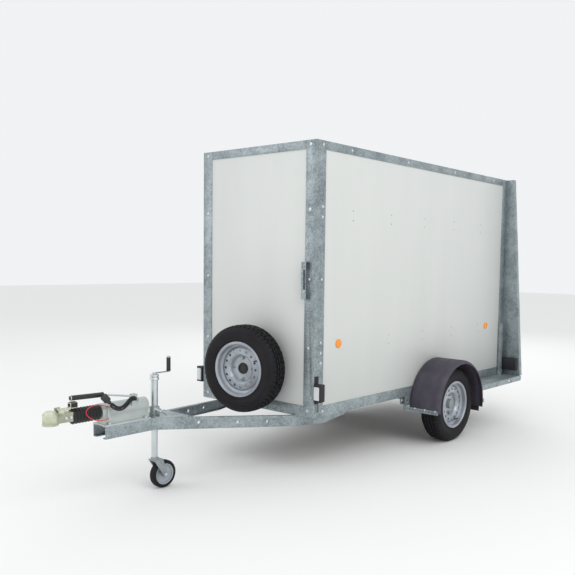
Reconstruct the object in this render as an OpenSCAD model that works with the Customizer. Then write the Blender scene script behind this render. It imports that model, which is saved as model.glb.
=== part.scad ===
// Single-axle livestock trailer with a panelled box body, a drawbar with an overrun coupling and
// a rear loading ramp. Millimetres. X is across, +Y points to the rear, +Z is up, and the ground
// is z = 0. Places along the trailer are measured from the front face of the body.

/* [Body] */
// Width over the corner posts
body_w = 1080; // [900:10:1400]
// Length from the front face to the rear face
body_l = 2640; // [2200:10:3200]
// Height from the underside of the rails to the roof
body_h = 1775; // [1470:5:2150]
// Height of the underside of the rails above the ground
rail_z = 380; // [365:1:460]
// Thickness of the wall and roof panels
panel_t = 18; // [12:1:22]
// Width of the front corner posts
post_w = 88; // [70:1:110]
// Width of the rear corner posts
rear_post_w = 60; // [50:1:72]
// Depth of the top rails
top_rail_h = 55; // [45:1:66]
// Thickness of the folded sheet of posts, rails and wings
sheet_t = 4; // [3:0.1:5]

/* [Chassis] */
// Depth of the chassis rails
rail_h = 72; // [68:1:90]
// Width of the chassis rails
rail_w = 50; // [42:1:60]
// Number of cross members under the floor
cross_n = 5; // [3:1:7]
// Depth of the cross members
cross_h = 50; // [40:1:54]
// Thickness of the floor
floor_t = 18; // [12:1:22]

/* [Drawbar] */
// Length of the drawbar in front of the body
drawbar_l = 1200; // [1000:10:1440]
// Depth of the drawbar arms
arm_h = 72; // [60:1:86]
// Width of the drawbar arms' flanges
arm_w = 30; // [25:1:36]
// Thickness of the drawbar arms
arm_t = 5; // [4:0.5:6]
// Half the width over the arms where they run side by side
nose_w = 62; // [58:1:75]
// Height that the arms climb from the body to the coupling
arm_rise = 75; // [50:1:90]

/* [Wheels] */
// Distance of the axle from the front face of the body
axle_y = 1460; // [1250:10:1750]
// Diameter of the tyres
tyre_d = 580; // [560:1:600]
// Width of the tyres
tyre_w = 158; // [145:1:175]
// Diameter over the rim flanges
rim_d = 366; // [340:1:390]
// Width over the rim flanges
rim_w = 145; // [135:1:150]
// Pitch circle of the four wheel studs
stud_pcd = 139.7; // [120:0.1:150]
// Gap between the side of the body and the tyre
wheel_gap = 50; // [45:1:80]
// Upward travel of the axle on its springs
axle_travel = 50; // [30:1:55]
// Gap between the tyre and the mudguard
guard_gap = 60; // [56:1:80]
// Width of the mudguards
guard_w = 262; // [250:1:300]

/* [Ramp] */
// Thickness of the loading ramp's frame
ramp_t = 30; // [24:1:36]
// Number of foot battens on the ramp
batten_n = 8; // [5:1:10]

/* [Coupling] */
// Height of the coupling tube's centre above the ground
coupling_z = 532; // [525:1:560]
// Length of the coupling housing
housing_l = 300; // [250:5:340]
// Diameter of the tow ball that the head takes
ball_d = 50; // [45:0.1:55]
// Radius of the sliding draw tube
draw_r = 25; // [21:0.5:28]
// Backward travel of the coupling head
draw_travel = 80; // [50:1:90]

/* [Jockey wheel] */
// Diameter of the jockey wheel
jockey_d = 170; // [150:1:200]
// Width of the jockey wheel
jockey_w = 48; // [40:1:55]
// Radius of the jockey wheel's outer tube
jockey_r = 21; // [18:0.5:24]
// Distance that the wheel trails behind its swivel
jockey_trail = 60; // [45:1:65]

/* [Prop stands] */
// Width of the square prop stands
prop_w = 28; // [24:1:32]
// Height of a raised prop stand's foot above the ground
prop_z = 345; // [300:1:360]

/* [Hidden] */
$fn = 64;

fit = 0.05;            // radial clearance of a shaft in its bore
gap = 0.5;             // clearance between pieces that only pass each other
w = body_w / 2;
roof_z = rail_z + body_h;
sill_z = rail_z + rail_h;
wall_top = roof_z - sheet_t - panel_t;
wing_fold = 40;
tip_y = -drawbar_l - 330;
rear_y = body_l + wing_fold;
mid_y = (tip_y + rear_y) / 2;   // the object's origin lies under the middle of its length
tyre_r = tyre_d / 2;
hub_x = w + wheel_gap + tyre_w / 2;   // the middle plane of a wheel
pitch_post = 65;       // how far fixings stand in from a post's corner

module placed() translate([0, -mid_y, 0]) children();
module both() { children(); mirror([1, 0, 0]) children(); }
module block(lo, hi) translate(lo) cube([hi.x - lo.x, hi.y - lo.y, hi.z - lo.z]);

// A round bar from point p to point q
module rod(p, q, r) {
    d = q - p;
    translate(p) rotate([0, acos(d.z / norm(d)), atan2(d.y, d.x)]) cylinder(h = norm(d), r = r);
}

// Pieces drawn on +Z are laid along +X or -Y
module along_x() rotate([0, 90, 0]) children();
module along_y() rotate([-90, 0, 0]) children();
// A side view, drawn as (y, z), made solid from x0 to x1
module side_view(x0, x1) translate([x0, 0, 0]) rotate([90, 0, 90]) linear_extrude(x1 - x0) children();
// A rear view, drawn as (x, z), made solid from y0 to y1
module rear_view(y0, y1) translate([0, y1, 0]) rotate([90, 0, 0]) linear_extrude(y1 - y0) children();

// ---- Chassis ----

// Two channels under the sides, open towards the middle
module side_rails() placed() color("#9aa5a8") both() difference() {
    block([w - rail_w, rail_w, rail_z], [w, body_l - rail_w, sill_z]);
    block([w - rail_w - 1, rail_w - 1, rail_z + sheet_t], [w - sheet_t, body_l, sill_z - sheet_t]);
}

cross_pitch = (body_l - 2 * rail_w) / (cross_n + 1);
cross_z = sill_z - floor_t - cross_h;
module end_rail() difference() {
    block([-w, 0, rail_z], [w, rail_w, sill_z]);
    block([-w + sheet_t, sheet_t, rail_z + sheet_t], [w - sheet_t, rail_w + 1, sill_z - sheet_t]);
}
hinge_y = body_l + 22;
hinge_z = sill_z - 42;
hinge_r = 9;
pin_r = 5;
knuckle = 30;
hinge_x = [-w + 140, -knuckle / 2, w - 140 - knuckle];
module cross_members() placed() color("#9aa5a8") {
    end_rail();
    translate([0, body_l, 0]) mirror([0, 1, 0]) end_rail();
    // Knuckles and pins of the ramp's hinge stand out from the rear sill
    for (x = hinge_x) {
        block([x, body_l - 1, hinge_z - 6], [x + knuckle, hinge_y, hinge_z + 6]);
        translate([x, hinge_y, hinge_z]) along_x() cylinder(h = knuckle, r = hinge_r);
        translate([x - 12, hinge_y, hinge_z]) along_x() cylinder(h = knuckle + 24, r = pin_r);
    }
    for (i = [1 : cross_n]) translate([0, rail_w + i * cross_pitch, 0]) difference() {
        block([-w + rail_w, -20, cross_z], [w - rail_w, 20, cross_z + cross_h]);
        block([-w, -20 + sheet_t, cross_z + sheet_t], [w, 21, cross_z + cross_h - sheet_t]);
    }
}

module floor_deck() placed() color("#6b5a45")
    block([-w + rail_w, rail_w, sill_z - floor_t], [w - rail_w, body_l - rail_w, sill_z]);

// ---- Drawbar ----

arm_z = rail_z - arm_h;             // underside of the arms below the body
nose_z = arm_z + arm_rise;          // underside of the arms at the coupling
bend_y = -drawbar_l + housing_l + 20;
arm_end_y = 360;
arm_end_x = w - 22;
arm_slope = atan(arm_rise / -bend_y);
// Outer edge of an arm seen from above, moved in by d
function arm_line(d) = [[nose_w - d, -drawbar_l], [nose_w - d, bend_y], [arm_end_x - d, arm_end_y]];
module arm_plan(d0, d1) polygon(concat(arm_line(d0), [for (i = [2 : -1 : 0]) arm_line(d1)[i]]));
// A stripe of the arm's side view, from a to b above its underside
module arm_side(a, b) polygon([[-drawbar_l, nose_z + a], [bend_y, nose_z + a], [0, arm_z + a],
    [arm_end_y, arm_z + a], [arm_end_y, arm_z + b], [0, arm_z + b], [bend_y, nose_z + b], [-drawbar_l, nose_z + b]]);
module arm_part(d0, d1, a, b) intersection() {
    linear_extrude(roof_z) arm_plan(d0, d1);
    side_view(-w, w) arm_side(a, b);
}
module drawbar_arm() difference() {
    union() {
        arm_part(0, arm_t, 0, arm_h);
        arm_part(arm_t, arm_w, 0, arm_t);
        arm_part(arm_t, arm_w, arm_h - arm_t, arm_h);
    }
    // The rear end is cut to a taper, and the web has round holes
    side_view(-w, w) polygon([[200, arm_z - 1], [arm_end_y + 1, arm_z - 1], [arm_end_y + 1, arm_z + 0.7 * arm_h]]);
    for (p = [[-190, 0.5], [-380, 0.5], [-620, 0.55]])
        translate([0, p[0], arm_z + p[1] * arm_h - p[0] * arm_rise / -bend_y]) along_x() cylinder(h = w, r = 9);
}
module drawbar_right() placed() color("#97a2a5") drawbar_arm();
module drawbar_left() placed() color("#97a2a5") mirror([1, 0, 0]) drawbar_arm();

jockey_y = bend_y + 50;
gusset_l = 230;
sleeve_r = jockey_r + 9;
// A plate that lies on both arms behind the coupling
module drawbar_gusset() placed() color("#97a2a5") difference() {
    translate([0, bend_y, nose_z + arm_h]) rotate([-arm_slope, 0, 0]) linear_extrude(6)
        polygon([[-nose_w, 2], [nose_w, 2], [nose_w + 0.37 * gusset_l, gusset_l], [-nose_w - 0.37 * gusset_l, gusset_l]]);
    translate([0, jockey_y, 0]) cylinder(h = roof_z, r = sleeve_r + gap);
    for (s = [-1, 1]) translate([s * (nose_w + 30), bend_y + gusset_l - 30, 0]) cylinder(h = roof_z, r = 6);
}

// ---- Body ----

// An angle section that wraps a corner: a is its front flange, b its side flange
module corner_angle(a, b, z0, z1) difference() {
    block([w - a, 0, z0], [w, b, z1]);
    block([w - a - 1, sheet_t, z0 - 1], [w - sheet_t, b + 1, z1 + 1]);
}
module front_posts() placed() color("#a3adae") both() difference() {
    corner_angle(post_w, post_w + 4, sill_z, roof_z);
    // The left post has an eye for a tether, the right one carries the grab handle
    translate([w - 25, -1, sill_z + 60]) along_y() cylinder(h = 10, r = 8);
}
module rear_posts() placed() color("#a3adae") translate([0, body_l, 0]) mirror([0, 1, 0]) both()
    corner_angle(rear_post_w, rear_post_w + 20, sill_z, roof_z);

rail_lip = 50;
header_h = top_rail_h + 15;
module roof_rails() placed() color("#a3adae") {
    front = post_w + 4;
    back = body_l - rear_post_w - 20;
    both() {
        block([w - sheet_t, front, roof_z - top_rail_h], [w, back, roof_z]);
        block([w - rail_lip, front, roof_z - sheet_t], [w - sheet_t, back, roof_z]);
    }
    block([-w + post_w, 0, roof_z - top_rail_h], [w - post_w, sheet_t, roof_z]);
    block([-w + post_w, sheet_t, roof_z - sheet_t], [w - post_w, rail_lip, roof_z]);
    block([-w + rear_post_w, body_l - sheet_t, roof_z - header_h], [w - rear_post_w, body_l, roof_z]);
    block([-w + rear_post_w, body_l - rail_lip, roof_z - sheet_t], [w - rear_post_w, body_l - sheet_t, roof_z]);
}

in_x = w - sheet_t;              // outer face of the side panels
module front_panel() placed() color("#dcdfdb")
    block([-in_x, sheet_t, sill_z], [in_x, sheet_t + panel_t, wall_top]);
module right_panel() placed() color("#dcdfdb")
    block([in_x - panel_t, sheet_t + panel_t, sill_z], [in_x, body_l - sheet_t, wall_top]);
module left_panel() placed() color("#dcdfdb")
    block([-in_x, sheet_t + panel_t, sill_z], [-in_x + panel_t, body_l - sheet_t, wall_top]);
module roof_panel() placed() color("#dcdfdb")
    block([-in_x, sheet_t, wall_top], [in_x, body_l - sheet_t, wall_top + panel_t]);

// Tapered plates that shield the ramp's sides, each folded back along its outer edge
wing_top = 65;
wing_foot = 190;
wing_z = rail_z + 5;
module wing_plates() placed() color("#a3adae") both() {
    rear_view(body_l - 3, body_l) polygon([[w, wing_z], [w + wing_foot, wing_z], [w + wing_top, roof_z], [w, roof_z]]);
    rear_view(body_l, rear_y) polygon([[w + wing_foot - 3, wing_z], [w + wing_foot, wing_z],
        [w + wing_top, roof_z], [w + wing_top - 3, roof_z]]);
    // A shelf over the tongue of each catch
    block([catch_x + 43, body_l, catch_z + 10], [catch_x + 81, body_l + 46, catch_z + 16]);
}

// Galvanised steps behind the wheels, which carry the wings
step_y = axle_y + tyre_r + guard_gap + 90;
step_w = 200;
step_h = 44;
prop_x = w + 4 + prop_w / 2;
prop_y = body_l - 65;
module rear_platforms() placed() color("#97a2a5") both() difference() {
    union() {
        block([w, step_y, wing_z - step_h], [w + step_w, body_l, wing_z]);
        // A collar guides each prop stand
        translate([prop_x, prop_y, wing_z + 19]) cube([prop_w + 6, prop_w + 6, 40], center = true);
    }
    block([w - 1, step_y + sheet_t, wing_z - step_h - 1], [w + step_w - sheet_t, body_l - sheet_t, wing_z - sheet_t]);
    translate([prop_x, prop_y, rail_z]) cube([prop_w + 2, prop_w + 2, 120], center = true);
    translate([w + step_w - 10, body_l - 230, wing_z - step_h / 2]) along_x() cylinder(h = 20, r = 12);
}
module bump_rubbers() placed() color("#1b1a1c") both()
    block([w + step_w - 60, body_l, wing_z - step_h + 6], [w + step_w - 10, body_l + 30, wing_z - 6]);

// ---- Fixings ----

// A domed bolt head standing on +Z
module dome(r) {
    cylinder(h = 1.5, r = r * 1.25);
    translate([0, 0, 1.5]) cylinder(h = r * 0.5, r1 = r, r2 = r * 0.55);
}
module on_side(y, z, r) translate([w, y, z]) along_x() dome(r);
module on_front(x, z, r) translate([x, 0, z]) rotate([90, 0, 0]) dome(r);
post_z = [for (f = [0.2, 0.236, 0.275, 0.505, 0.729, 0.765]) rail_z + f * body_h];
top_z = roof_z - top_rail_h / 2;
module body_bolts() placed() color("#b9bfc2") both() {
    for (z = concat(post_z, [top_z])) on_side(pitch_post, z, 7);
    for (i = [0 : 3]) on_side(357 + i * (body_l - 621) / 3, top_z, 7);
    for (f = [0.255, 0.505, 0.755]) on_front(w - 50, rail_z + f * body_h, 8);
    on_front(w - 50, top_z, 8);
    on_front(w - 54, rail_z + rail_h * 0.6, 8);
    on_side(rail_w + 40, rail_z + rail_h * 0.5, 8);
}
screw_pitch = (body_l - 860) / 4;
module panel_screws() placed() color("#c9cdcb") both() translate([-sheet_t, 0, 0]) {
    for (i = [0 : 4], d = [-32, 32]) on_side(385 + i * screw_pitch, rail_z + 0.7437 * body_h + d, 3.5);
    for (i = [1 : 4], d = [-32, 32]) on_side(385 + i * screw_pitch, rail_z + 0.2569 * body_h + d, 3.5);
}

// A folded plate with a long finger slot, on the right front post
grab_z = rail_z + 0.432 * body_h;
grab_h = 240;
grab_y = -34;
module grab_handle() placed() color("#a3adae") difference() {
    block([w - post_w, grab_y, grab_z], [w - post_w + 38, 0, grab_z + grab_h]);
    block([w - post_w + 4, grab_y + 4, grab_z + 4], [w - post_w + 39, 1, grab_z + grab_h - 4]);
    block([w - post_w + 14, grab_y - 1, grab_z + 62], [w - post_w + 34, grab_y + 5, grab_z + grab_h - 50]);
}

// ---- Mudguards ----

guard_r = tyre_r + guard_gap;
guard_x = w + 6;
// Upper part of a ring about the axle, which reaches lower at the rear
module guard_ring(r0, r1, x0, x1) translate([x0, axle_y, tyre_r]) along_x() rotate([0, 0, 80])
    rotate_extrude(angle = 193) translate([r0, 0]) square([r1 - r0, x1 - x0]);
module mudguards() placed() color("#4a454f") both() {
    guard_ring(guard_r, guard_r + 4, guard_x, guard_x + guard_w);
    guard_ring(guard_r - 4, guard_r, guard_x + guard_w - 4, guard_x + guard_w);
}
// Perforated bars before and behind the wheels carry the mudguards
module mudguard_stays() placed() translate([0, axle_y, 0]) color("#97a2a5") both() for (s = [0, 1]) mirror([0, s, 0])
    difference() {
        union() {
            block([w - rail_w + 6, -guard_r - 9.3, tyre_r - 25], [guard_x + guard_w - 6, -guard_r - 4.3, tyre_r + 5]);
            block([w - rail_w + 6, -guard_r - 9.3, tyre_r - 25], [w - rail_w + 30, -guard_r - 4.3, rail_z]);
        }
        for (i = [0 : 9]) translate([w - 10 + i * 24, -guard_r - 10, tyre_r - 10]) along_y() cylinder(h = 8, r = 5);
    }
module mudflaps() placed() color("#141315") both()
    block([hub_x - 88, axle_y + guard_r + 9.6, 187], [hub_x + 88, axle_y + guard_r + 15.6, 400]);

// ---- Springs and axle ----

eye_y = guard_r - 20;   // the eyes lie inside the mudguard stays
eye_z = rail_z - 35;
spring_x = w - rail_w / 2;
spring_w = 44;
spring_drop = eye_z - tyre_r + 35;
leaf_t = 7;
spring_r = (eye_y * eye_y + spring_drop * spring_drop) / (2 * spring_drop);
// Hangers below the rails, each with a large hole, and the pins at the ends of the springs
module spring_hangers() placed() color("#97a2a5") both() for (s = [-1, 1]) {
    difference() {
        for (x = [spring_x - spring_w / 2 - 6, spring_x + spring_w / 2 + 1])
            side_view(x, x + 5) polygon([[axle_y + s * (eye_y + 70), rail_z], [axle_y + s * (eye_y + 62), eye_z - 35],
                [axle_y + s * (eye_y - 25), eye_z - 35], [axle_y + s * (eye_y - 40), rail_z]]);
        translate([0, axle_y + s * (eye_y + 43), eye_z - 2]) along_x() cylinder(h = w + 60, r = 12);
    }
    translate([spring_x - spring_w / 2 - 2, axle_y + s * (eye_y + 13), eye_z]) along_x() cylinder(h = spring_w + 4, r = 7);
}
// One leaf: an arc that hangs below its eyes, reaching half-length l
module leaf(r, l) {
    a = asin(l / r);
    translate([spring_x - spring_w / 2, axle_y, eye_z - spring_drop + spring_r]) along_x()
        rotate([0, 0, -a]) rotate_extrude(angle = 2 * a, $fn = 720) translate([r, 0]) square([leaf_t, spring_w]);
}
module leaf_springs() placed() color("#3a3d40") both() {
    leaf(spring_r, eye_y);
    leaf(spring_r + leaf_t + 0.4, eye_y * 0.72);
    leaf(spring_r + 2 * leaf_t + 0.8, eye_y * 0.42);
}
beam_w = 46;
plate_r = 114;
stub_r = 15;
pad_z = eye_z - spring_drop + 0.44 + 45 * 45 / (2 * spring_r);   // the beam's pad, on top of the main leaf
clip_z = eye_z - spring_drop - 3 * leaf_t - 1.5;   // the plate under the lowest leaf
module axle_beam() placed() color("#6d7478") {
    block([-w - 20, axle_y - beam_w / 2, tyre_r - beam_w / 2], [w + 20, axle_y + beam_w / 2, tyre_r + beam_w / 2]);
    both() {
        translate([w + 20, axle_y, tyre_r]) along_x() {
            cylinder(h = hub_x - 62 - w - 20, r = 22);
            translate([0, 0, hub_x - 66 - w - 20]) cylinder(h = 4, r = plate_r);
            cylinder(h = hub_x + 18 - w - 20, r = stub_r);
        }
        // U-bolts hold the pad and the spring's bottom plate
        block([spring_x - 30, axle_y - 45, pad_z], [spring_x + 30, axle_y + 45, tyre_r - beam_w / 2]);
        block([spring_x - 34, axle_y - 45, clip_z - 8], [spring_x + 34, axle_y + 45, clip_z]);
        for (x = [spring_x - 28, spring_x + 28]) {
            for (y = [-33, 33]) translate([x, axle_y + y, clip_z - 20]) cylinder(h = tyre_r + 30 - clip_z + 20, r = 4);
            block([x - 5, axle_y - 38, tyre_r + 24], [x + 5, axle_y + 38, tyre_r + 32]);
        }
    }
}

// ---- Wheels, drawn about their own axis with the outer side up ----

half = rim_w / 2;
rim_r = rim_d / 2;
seat_r = rim_r - 17.5;
disc_z = 8;            // the disc's face on the hub, from the wheel's middle plane
bore_r = 38;
module rim() difference() {
    rotate_extrude() {
        polygon([[rim_r, half], [rim_r, half - 4], [seat_r + 4, half - 4], [seat_r, half - 8], [seat_r, half - 32],
            [seat_r - 15, half - 42], [seat_r - 15, -10], [seat_r, -22], [seat_r, 8 - half], [seat_r + 4, 4 - half],
            [rim_r, 4 - half], [rim_r, -half], [seat_r + 1, -half], [seat_r - 3, 6 - half], [seat_r - 3, -24],
            [seat_r - 18, -13], [seat_r - 18, half - 40], [seat_r - 3, half - 30], [seat_r - 3, half - 6], [seat_r + 1, half]]);
        polygon([[seat_r - 18, 8], [seat_r - 18, 28], [seat_r - 36, 41], [100, 44], [86, 32], [80, disc_z + 4],
            [bore_r, disc_z + 4], [bore_r, disc_z], [83, disc_z], [90, 29], [100, 39], [seat_r - 38, 36.5], [seat_r - 23, 25],
            [seat_r - 23, 8]]);
    }
    for (i = [0 : 15]) rotate([0, 0, i * 22.5]) translate([seat_r - 46, 0, 0]) cylinder(h = half, r = 9);
    for (i = [0 : 3]) rotate([0, 0, i * 90]) translate([stud_pcd / 2, 0, -1]) cylinder(h = 40, r = 7.2);
}
tw = tyre_w / 2;
wall = tyre_r - rim_r;   // the tyre's height over the rim
module tyre() rotate_extrude() {
    side = [[seat_r + 0.3, half - 18], [seat_r + 0.3, half - 8.5], [seat_r + 4.3, half - 4.3], [rim_r + 2, half - 4.3],
        [rim_r + 0.13 * wall, tw - 6], [rim_r + 0.32 * wall, tw], [rim_r + 0.57 * wall, tw - 1],
        [rim_r + 0.794 * wall, tw - 7], [rim_r + 0.925 * wall, tw - 16], [tyre_r - 2, tw - 26], [tyre_r, tw - 40]];
    inner = [[rim_r + 0.87 * wall, tw - 44], [rim_r + 0.776 * wall, tw - 24], [rim_r + 0.533 * wall, tw - 10],
        [rim_r + 0.28 * wall, tw - 9], [rim_r + 0.075 * wall, half - 20]];
    polygon(concat(side, [for (i = [len(side) - 1 : -1 : 0]) [side[i].x, -side[i].y]],
        [for (i = [len(inner) - 1 : -1 : 0]) [inner[i].x, -inner[i].y]], inner));
}
drum_r = 110;
module hub() difference() {
    union() {
        translate([0, 0, -58]) cylinder(h = disc_z + 58, r = 36);
        translate([0, 0, -50]) cylinder(h = disc_z + 50, r = drum_r);
        translate([0, 0, disc_z]) cylinder(h = 34, r = bore_r - 0.5);
        for (i = [0 : 3]) rotate([0, 0, i * 90]) translate([stud_pcd / 2, 0, 0]) {
            cylinder(h = disc_z + 24, r = 6);
            translate([0, 0, disc_z + 4.3]) cylinder(h = 14, r = 11, $fn = 6);
        }
    }
    difference() {
        translate([0, 0, -51]) cylinder(h = 49, r = drum_r - 6);
        translate([0, 0, -60]) cylinder(h = 70, r = 36);
    }
    translate([0, 0, -60]) cylinder(h = 80, r = stub_r + fit);
    translate([0, 0, disc_z + 2]) cylinder(h = 26, r = stub_r + 10);
}
module on_right() placed() translate([hub_x, axle_y, tyre_r]) along_x() children();
module on_left() placed() translate([-hub_x, axle_y, tyre_r]) mirror([1, 0, 0]) along_x() children();
module hub_right() color("#8b9093") on_right() hub();
module hub_left() color("#8b9093") on_left() hub();
module rim_right() color("#b8bec6") on_right() rim();
module rim_left() color("#b8bec6") on_left() rim();
module tyre_right() color("#17151a") on_right() tyre();
module tyre_left() color("#17151a") on_left() tyre();

// ---- Spare wheel on the front ----

spare_x = 69;
spare_y = -tyre_w - 6;
spare_z = rail_z + 297;
spare_turn = 11.5;
module at_spare() placed() translate([spare_x, spare_y, spare_z]) rotate([90, 0, spare_turn]) children();
module spare_rim() color("#b8bec6") at_spare() rim();
module spare_tyre() color("#17151a") at_spare() tyre();
module spare_carrier() color("#97a2a5") {
    at_spare() {
        translate([0, 0, disc_z - 8]) cylinder(h = 8 - 0.2, r = 88);
        translate([0, 0, spare_y / cos(spare_turn) + 1]) cylinder(h = -spare_y / cos(spare_turn) + 1, r = 24);
        for (i = [1, 3]) rotate([0, 0, i * 90]) translate([stud_pcd / 2, 0, 0]) {
            cylinder(h = disc_z + 22, r = 6);
            translate([0, 0, disc_z + 4.3]) cylinder(h = 12, r = 11, $fn = 6);
        }
    }
    placed() {
        block([spare_x - 60, -6, sill_z], [spare_x + 60, sheet_t, sill_z + 330]);
        block([spare_x - 60, -6, rail_z + 6], [spare_x + 60, 0, sill_z]);
    }
}

// ---- Lamps ----

lamp_z = wing_z + 45;
lamp_x = w + 18;
lamp_w = 150;
lamp_h = 110;
module rear_lamps() placed() color("#1a191c") both()
    block([lamp_x, body_l - 43, lamp_z], [lamp_x + lamp_w, body_l - 3, lamp_z + lamp_h]);
marker_x = w + 35;
marker_z = rail_z + 168;
module lamp_lenses() placed() both() {
    color("#b3161b") block([lamp_x, body_l, lamp_z], [lamp_x + lamp_w, body_l + 24, lamp_z + lamp_h]);
    color("#e8e6e0") translate([marker_x, -12, marker_z]) cube([44, 8, 88], center = true);
}
module side_reflectors() placed() color("#f57c10") both() for (y = [247, body_l - 329])
    translate([w - sheet_t, y, rail_z + 0.264 * body_h]) along_x() cylinder(h = 9, r = 29);
// Each marker lamp is a rubber body on a black backing strip
module marker_lamps() placed() color("#151417") both() difference() {
    union() {
        block([w, 8, rail_z + 92], [w + 5, 44, rail_z + 272]);
        translate([marker_x + 1, 20, marker_z]) cube([58, 56, 112], center = true);
    }
    block([marker_x + 20, 20, marker_z - 60], [marker_x + 40, 60, marker_z + 60]);
}

// ---- Free and clipped leads ----

// A smooth route through points that are given by hand
function smooth(p, n) = [for (i = [0 : len(p) - 2], k = [0 : n - 1]) let (t = k / n,
    a = p[max(i - 1, 0)], b = p[i], c = p[i + 1], d = p[min(i + 2, len(p) - 1)])
    0.5 * (2 * b + (c - a) * t + (2 * a - 5 * b + 4 * c - d) * t * t + (3 * b - a - 3 * c + d) * t * t * t),
    p[len(p) - 1]];
function unit(v) = v / norm(v);
// Rings of points about a route; ref is a direction that the route never takes
function ring(p, t, ref, r, sides) = let (u = unit(cross(ref, t)), v = cross(t, u))
    [for (k = [0 : sides - 1]) p + r * (cos(k * 360 / sides) * u + sin(k * 360 / sides) * v)];
module lead(route, r, sides, steps, ref = [1, 0, 0]) {
    p = smooth(route, steps);
    n = len(p);
    rings = [for (i = [0 : n - 1]) ring(p[i], unit(p[min(i + 1, n - 1)] - p[max(i - 1, 0)]), ref, r, sides)];
    faces = concat([[for (k = [0 : sides - 1]) sides - 1 - k]],
        [for (i = [0 : n - 2], k = [0 : sides - 1]) [i * sides + k, i * sides + (k + 1) % sides,
            (i + 1) * sides + (k + 1) % sides, (i + 1) * sides + k]],
        [[for (k = [0 : sides - 1]) (n - 1) * sides + k]]);
    polyhedron([for (a = rings, b = a) b], faces);
}

// The side marker lamps' leads drop behind the lamps to the rail
module lamp_leads() placed() color("#1c1b1e") both()
    lead([[w + 12, 30, marker_z - 57], [w + 12, 31, marker_z - 80], [w + 10, 34, rail_z + 70], [w + 6, 40, rail_z + 40]],
        3, 8, 4);

curly_r = 14;
curly_route = [[80, -1012, 583], [82, -1030, 596], [84, -1055, 590], [87, -1085, 566], [89, -1115, 552],
    [89, -1145, 556], [88, -1172, 574], [86, -1188, 592]];
breakaway_route = [[66, -1186, 500], [68, -1212, 496], [70, -1250, 500], [71, -1290, 516], [71, -1318, 540],
    [71, -1322, 565], [70, -1300, 582], [69, -1262, 588], [67, -1222, 580], [66, -1186, 566]];
module curly_cable() placed() color("#1c1b1e") lead(curly_route, curly_r, 12, 4);
module breakaway_cable() placed() color("#c3343a") lead(breakaway_route, 2.5, 8, 4);
plug_y = -drawbar_l + 12;
module trailer_plug() placed() color("#1a191b") translate([86, -1188, 592]) rotate([42, -5, 0]) {
    translate([0, 0, 1]) cylinder(h = 18, r = 11);
    translate([0, 0, 19]) cylinder(h = 36, r = 20);
}

// ---- Coupling ----

housing_y = -drawbar_l;
housing_r = draw_r + 21;
pivot = [0, -drawbar_l + 200, coupling_z + 66];
ear_t = 5;
lever_x = 34;
module coupling_housing() placed() color("#aeb4b3") difference() {
    union() {
        block([-nose_w, housing_y, nose_z + arm_h], [nose_w, housing_y + housing_l, nose_z + arm_h + 8]);
        block([-40, housing_y + 10, nose_z + arm_h + 8], [40, housing_y + housing_l, coupling_z]);
        translate([0, housing_y - 5, coupling_z]) along_y() cylinder(h = housing_l + 5, r = housing_r);
        // Ears for the handbrake lever
        for (x = [lever_x - 9 - ear_t, lever_x + 9]) block([x, pivot.y - 18, coupling_z], [x + ear_t, pivot.y + 18, pivot.z + 14]);
        // Side bosses that hold the leads' ends
        block([lever_x + 10, curly_route[0].y + 10, 572], [90, curly_route[0].y + 22, 594]);
        block([40, -1185, 496], [62, -1170, 572]);
        block([62, -1185, 494], [72, -1175, 506]);
        block([62, -1185, 560], [72, -1175, 572]);
    }
    translate([0, housing_y - 6, coupling_z]) along_y() cylinder(h = housing_l + 7, r = draw_r + fit);
    translate([-w, pivot.y, pivot.z]) along_x() cylinder(h = 2 * w, r = 6 + fit);
    for (x = [-1, 1], y = [30, housing_l - 30])
        translate([x * (nose_w - 9), housing_y + y, 0]) cylinder(h = roof_z, r = 6.5);
}
ball_y = tip_y + 40;
head_z = coupling_z - 29;
tube_back = housing_y + housing_l - draw_travel - 5;   // the draw tube's rear end
module coupling_head() placed() color("#c9cbb0") difference() {
    union() {
        translate([0, ball_y + 60, coupling_z]) along_y() cylinder(h = tube_back - ball_y - 60, r = draw_r);
        translate([0, ball_y, head_z]) cylinder(h = 62, r = 40);
        translate([0, ball_y, head_z + 62]) cylinder(h = 12, r1 = 36, r2 = 26);
        block([-30, ball_y, head_z + 8], [30, housing_y - 175, head_z + 58]);
        for (x = [-24, 18]) block([x, ball_y + 34, head_z + 50], [x + 6, ball_y + 66, head_z + 86]);
    }
    translate([0, ball_y, head_z - 1]) cylinder(h = 36, r = ball_d / 2 + 0.2);
    translate([0, ball_y, head_z + 34.9]) cylinder(h = 14, r1 = ball_d / 2 - 1, r2 = ball_d / 4);
    translate([-50, ball_y + 50, head_z + 76]) along_x() cylinder(h = 100, r = 5 + fit);
}
module head_handle() placed() color("#c2c4ab") translate([0, ball_y + 50, head_z + 76]) {
    translate([-24, 0, 0]) along_x() cylinder(h = 48, r = 5);
    translate([-17, 0, 0]) along_x() cylinder(h = 34, r = 9);
    block([-14, 6, -6], [14, 60, 4]);
    block([-16, 58, 0], [16, 100, 30]);
}
gaiter_l = housing_y - 5 - (housing_y - 175);
module gaiter() placed() color("#1b1a1c") translate([0, housing_y - 175, coupling_z]) along_y() rotate_extrude() {
    n = 9;
    s = gaiter_l / n;
    polygon(concat([[draw_r + 2, 0]], [for (i = [0 : n - 1], k = [0, 1]) [k == 0 ? draw_r + 8 : draw_r + 19, (i + k * 0.5) * s]],
        [[draw_r + 8, gaiter_l], [draw_r + 2, gaiter_l]]));
}
grip_y = pivot.y - 199;
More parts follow.
